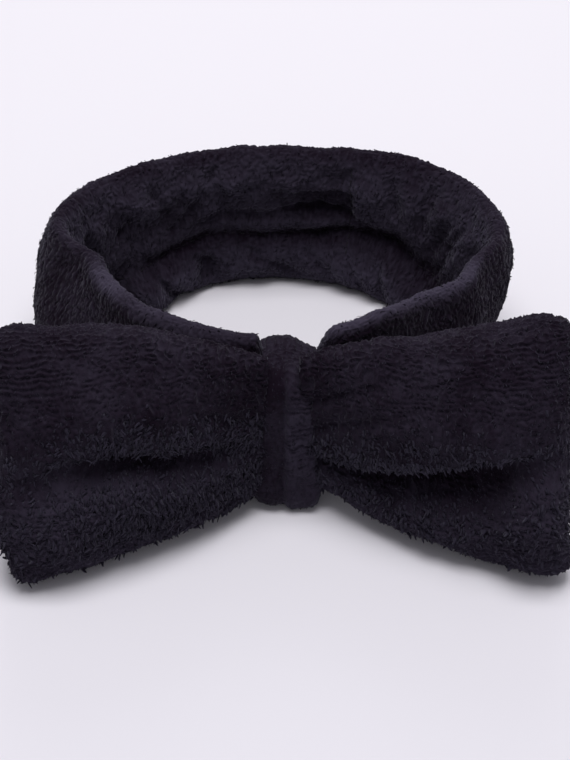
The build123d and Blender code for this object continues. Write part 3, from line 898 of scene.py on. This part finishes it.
# Creases: where one starts as a share of the half height, how far out it runs, its depth and width, and its
# drift per mm out.
LEFT_CREASES = (
    (0.22, 36.0, 1.1, 2.4, 0.34),
    (-0.50, 30.0, 0.6, 2.5, -0.04),
)
RIGHT_CREASES = (
    (0.10, 50.0, 1.6, 2.4, 0.42),
    (0.50, 38.0, 1.4, 2.2, 0.34),
    (-0.75, 30.0, 0.6, 2.0, 0.0),
)


# ---------------------------------------------------------------- knot

KNOT_STEPS = 420
STRIP_STEPS = 140
# Side view of the wrap's middle line, (y, z), from the front foot up, and how round its corners are.
KNOT_CORNERS = np.array(((-49.2, 2.8), (-42.4, 57.6), (-18.6, 57.6), (-18.6, 3.4)))
KNOT_ROUND = 6.0


def knot_line():
    """The wrap's middle line as evenly spaced points (y, z), and how far along it each lies, in mm."""
    line = []
    for i, here in enumerate(KNOT_CORNERS):
        before = KNOT_CORNERS[i - 1] - here
        after = KNOT_CORNERS[(i + 1) % len(KNOT_CORNERS)] - here
        start = here + before / np.linalg.norm(before) * KNOT_ROUND
        end = here + after / np.linalg.norm(after) * KNOT_ROUND
        for t in np.linspace(0, 1, 12):
            line.append(start * (1 - t) ** 2 + 2 * here * t * (1 - t) + end * t**2)
    line = np.array((*line, line[0]))
    length = run_length(line)
    s = np.linspace(0, length[-1], KNOT_STEPS, endpoint=False)
    return np.stack((np.interp(s, length, line[:, 0]), np.interp(s, length, line[:, 1])), axis=1), s


def knot_grid():
    """Skin of the wrap in mm: a closed strip round the bow's middle and the pinched band."""
    mid, s = knot_line()
    step = np.roll(mid, -3, 0) - np.roll(mid, 3, 0)
    step /= np.linalg.norm(step, axis=1, keepdims=True)
    out = np.stack((-step[:, 1], step[:, 0]), axis=1)
    width, depth = stadium(STRIP_STEPS, WRAP_HALF_THICK, KNOT_HALF + WRAP_EDGE)
    X = depth[None, :] + 0 * s[:, None]
    R = width[None, :] + 0 * s[:, None]
    S = s[:, None] + 0 * X
    facing = smooth(-30.0, -42.0, mid[:, 0])[:, None]
    head = smooth(46.0, 55.0, mid[:, 1])[:, None]
    height = mid[:, 1:]
    shown = smooth(-0.5, 2.0, R)
    crown = 1.6 * (1 - (X / WRAP_CROWN_HALF) ** 2) * smooth(-1.0, 2.0, R)
    pleat_at = -1.2 + 0.6 * noise(S / 18.0, S * 0, 41)
    pleat = 1.5 * bell(X - pleat_at, 1.5) * (0.20 + 0.80 * facing)
    second = 0.4 * bell(X - 5.4 - 0.8 * noise(S / 15.0, S * 0, 42), 1.2) * facing
    strip_low = 1.1 * smooth(-0.6, -3.3, X) * facing
    slope = 2.2 * smooth(0.0, 9.0, X) * head
    proud = 1.1 * bell(X - 7.5, 4.5) * facing * smooth(24.0, 40.0, height)
    R = R + crown + shown * (proud - pleat - second - strip_low - slope) + 0.6 * noise(S / 11.0, X / 6.0, 44)
    pull = 1.4 * noise(S / 12.0, X * 0, 43) * smooth(0.6, 1.0, np.abs(X) / KNOT_HALF) * np.sign(X)
    narrow = 1 - 0.10 * smooth(15.0, 30.0, height) * smooth(55.0, 35.0, height)
    grid = np.empty((KNOT_STEPS, STRIP_STEPS, 3))
    grid[:, :, 0] = KNOT_X + WRAP_SHIFT + X * narrow + pull
    grid[:, :, 1] = mid[:, :1] + out[:, :1] * R
    grid[:, :, 2] = mid[:, 1:] + out[:, 1:] * R
    skin = normals(grid, True)
    ribbed = smooth(-1.3, 1.2, X) * facing * smooth(12.0, 24.0, height) * smooth(-0.5, 2.0, R)
    pile, tone = nap(X, S, 45, 0.15 + 0.75 * ribbed, 0.4, 0.6)
    # Painted light on the ribbed front and painted shade on the left strip beside the pleat; the whole wrap
    # is a little lighter and its head darker.
    tone = tone + 0.15 - 0.30 * head + 0.18 * ribbed - 0.45 * smooth(-0.3, -2.3, X) * facing
    grid = grid + skin * (pile * smooth(-2.0, 1.5, R))[:, :, None]
    grid[:, :, 2] = np.maximum(grid[:, :, 2], 0.0)
    comb = np.zeros_like(grid)
    comb[:, :, 1] = -0.2
    comb[:, :, 2] = -1.0
    return grid, comb, tone


# ---------------------------------------------------------------- build

# Stitch length and gap, thread radii, and the y where the rear and front stitches part, in mm.
SEAM_STITCH = (2.6, 1.2)
CLOSING_STITCH = (2.4, 1.0)
THREAD_RADIUS = 0.22
TACK_RADIUS = 0.3
SEAM_SPLIT_Y = 20.0

# Tufts in mm: how far apart, how long, how wide, and their rise as a share of their length.
LOOP_FUZZ = {"spacing": 2.0, "long": 1.2, "wide": 0.40, "rise": 0.8}
BOW_FUZZ = {"spacing": 1.8, "long": 1.2, "wide": 0.40, "rise": 0.7}
STRANDS = {"spacing": 1.0, "long": 2.4, "wide": 1.10, "rise": 0.13}

loop_points, loop_comb, loop_tone, seam_line, closing_line = loop_grid()
loop = grid_mesh("fleece_loop", loop_points, True, loop_tone)
left_points, left_comb, left_tone, left_core, left_shaggy = wing_grid(
    LEFT_SHAPE, LEFT_FURROW, LEFT_CREASES, seed=60
)
left = grid_mesh("bow_loop_left", left_points, False, left_tone)
right_points, right_comb, right_tone, right_core, right_shaggy = wing_grid(
    RIGHT_SHAPE, RIGHT_FURROW, RIGHT_CREASES, seed=80
)
right = grid_mesh("bow_loop_right", right_points, False, right_tone)
knot_points, knot_comb, knot_tone = knot_grid()
knot = grid_mesh("centre_wrap", knot_points, True, knot_tone)
for piece in (loop, left, right, knot):
    dress(piece, FLEECE)

left_filling = grid_mesh("bow_filling_left", left_core, False)
right_filling = grid_mesh("bow_filling_right", right_core, False)
for piece in (left_filling, right_filling):
    dress(piece, WADDING)

elastic_points = elastic_grid()
elastic = grid_mesh("elastic_band", elastic_points, False)
dress(elastic, ELASTIC)
right_tack = thread_mesh("elastic_tack_sewn_right", [tack_run(elastic_points[0])], TACK_RADIUS)
left_tack = thread_mesh("elastic_tack_sewn_left", [tack_run(elastic_points[-1])], TACK_RADIUS)
rear = seam_line[:, 1] > SEAM_SPLIT_Y
seam_rear = thread_mesh("seam_stitches_rear", stitches(seam_line[rear], *SEAM_STITCH), THREAD_RADIUS)
split = np.argmin(seam_line[:, 1])
front_line = np.roll(seam_line, -split, 0)
right_side = front_line[: LOOP_STEPS // 2]
left_side = front_line[LOOP_STEPS // 2 :]
front_runs = stitches(right_side[right_side[:, 1] <= SEAM_SPLIT_Y], *SEAM_STITCH)
front_runs += stitches(left_side[left_side[:, 1] <= SEAM_SPLIT_Y], *SEAM_STITCH)
seam_front = thread_mesh("seam_stitches_front", front_runs, THREAD_RADIUS)
closing = thread_mesh("closing_stitches", stitches(closing_line[::-1], *CLOSING_STITCH), THREAD_RADIUS)
for piece in (right_tack, left_tack, seam_rear, seam_front, closing):
    dress(piece, THREAD)

# Short fuzz everywhere, thinner on the loop's rims, and longer strands on the bow's lobes.
off_rims = 1 - 0.55 * smooth(0.15, 0.80, normals(loop_points, True)[:, :, 2])
all_wing = np.ones(left_points.shape[:2])
all_knot = np.ones(knot_points.shape[:2])
loop_tufts = tufts_on("loop_pile", loop_points, True, loop_comb, off_rims, 101, **LOOP_FUZZ)
left_tufts = tufts_on("bow_fuzz_left", left_points, False, left_comb, all_wing, 102, **BOW_FUZZ)
right_tufts = tufts_on("bow_fuzz_right", right_points, False, right_comb, all_wing, 103, **BOW_FUZZ)
knot_tufts = tufts_on("wrap_fuzz", knot_points, True, knot_comb, all_knot, 104, **BOW_FUZZ)
left_strands = tufts_on("bow_strands_left", left_points, False, left_comb, left_shaggy, 105, **STRANDS)
right_strands = tufts_on("bow_strands_right", right_points, False, right_comb, right_shaggy, 106, **STRANDS)
pile_pieces = (loop_tufts, left_tufts, right_tufts, knot_tufts, left_strands, right_strands)
for piece in pile_pieces:
    dress(piece, DARK_TIPS if piece is loop_tufts else TIPS)

for piece in (loop, loop_tufts, elastic, right_tack, left_tack, seam_rear, seam_front, closing):
    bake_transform(piece)
for piece in (left, left_tufts, left_strands, left_filling):
    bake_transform(piece)
for piece in (right, right_tufts, right_strands, right_filling):
    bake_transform(piece)
for piece in (knot, knot_tufts):
    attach(piece, "front")

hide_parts("sleeve_front", "sleeve_back")
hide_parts("bow_left")
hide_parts("bow_right")
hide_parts("bow_left_wadding")
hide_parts("bow_right_wadding")
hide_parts("knot_wrap")
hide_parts("elastic_strip")
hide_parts("elastic_tack_right")
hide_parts("elastic_tack_left")
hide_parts("sleeve_seam_back")
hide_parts("sleeve_seam_front")
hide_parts("back_closing_seam")

# Of the CAD nodes that stay visible, the bow's waist is fleece and the others are stitching.
for name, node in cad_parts.items():
    dress(node, FLEECE if name == "bow_waist" else THREAD)


# ---------------------------------------------------------------- stage, light, camera


def floor():
    """Pale floor far wider than the view."""
    bpy.ops.mesh.primitive_plane_add(size=12.0, location=(0, 0, -0.0002))
    plane = bpy.context.object
    plane.name = "floor"
    mat, tree, shader = new_material("floor_paper", 0.9, 0.10)
    # Painted shade: the floor's colour darkens towards the front and lightens towards the back.
    apart = tree.nodes.new("ShaderNodeSeparateXYZ")
    tree.links.new(object_coords(tree), apart.inputs[0])
    span = tree.nodes.new("ShaderNodeMapRange")
    span.inputs["From Min"].default_value = -0.45
    span.inputs["From Max"].default_value = 0.35
    tree.links.new(apart.outputs["Y"], span.inputs["Value"])
    colour = two_tone(tree, span.outputs["Result"], (0.715, 0.705, 0.755), (0.80, 0.785, 0.83))
    tree.links.new(colour, shader.inputs["Base Color"])
    dress(plane, mat)


def area_light(name, place, target, size, power, colour):
    """Soft square light aimed at a point."""
    data = bpy.data.lights.new(name, "AREA")
    data.size = size
    data.energy = power
    data.color = colour
    light = bpy.data.objects.new(name, data)
    light.location = place
    light.rotation_euler = (Vector(target) - Vector(place)).to_track_quat("-Z", "Y").to_euler()
    bpy.context.collection.objects.link(light)


floor()
STUDIO_WHITE = (1.0, 0.985, 1.0)
area_light("top", (0.0, -0.08, 1.65), (0, 0.0, 0.0), 0.9, 22.4, STUDIO_WHITE)
area_light("back", (0.0, 1.5, 1.0), (0, 0.45, 0.0), 1.0, 6.0, STUDIO_WHITE)

world = bpy.data.worlds.new("studio")
bpy.context.scene.world = world
world.use_nodes = True
sky = world.node_tree.nodes["Background"]
sky.inputs["Color"].default_value = (0.90, 0.885, 0.935, 1)
sky.inputs["Strength"].default_value = 0.36
bpy.context.scene.view_settings.view_transform = "Standard"

AIM = Vector((0.002, -0.029, 0.0478))
ELEVATION = radians(42.0)
DISTANCE = 0.85
camera_data = bpy.data.cameras.new("camera")
camera_data.lens = 107.7
camera_data.sensor_width = 36.0
camera_data.clip_start = 0.05
camera = bpy.data.objects.new("camera", camera_data)
camera.location = AIM + Vector((0, -cos(ELEVATION), sin(ELEVATION))) * DISTANCE
camera.rotation_euler = (AIM - camera.location).to_track_quat("-Z", "Y").to_euler()
bpy.context.collection.objects.link(camera)
bpy.context.scene.camera = camera
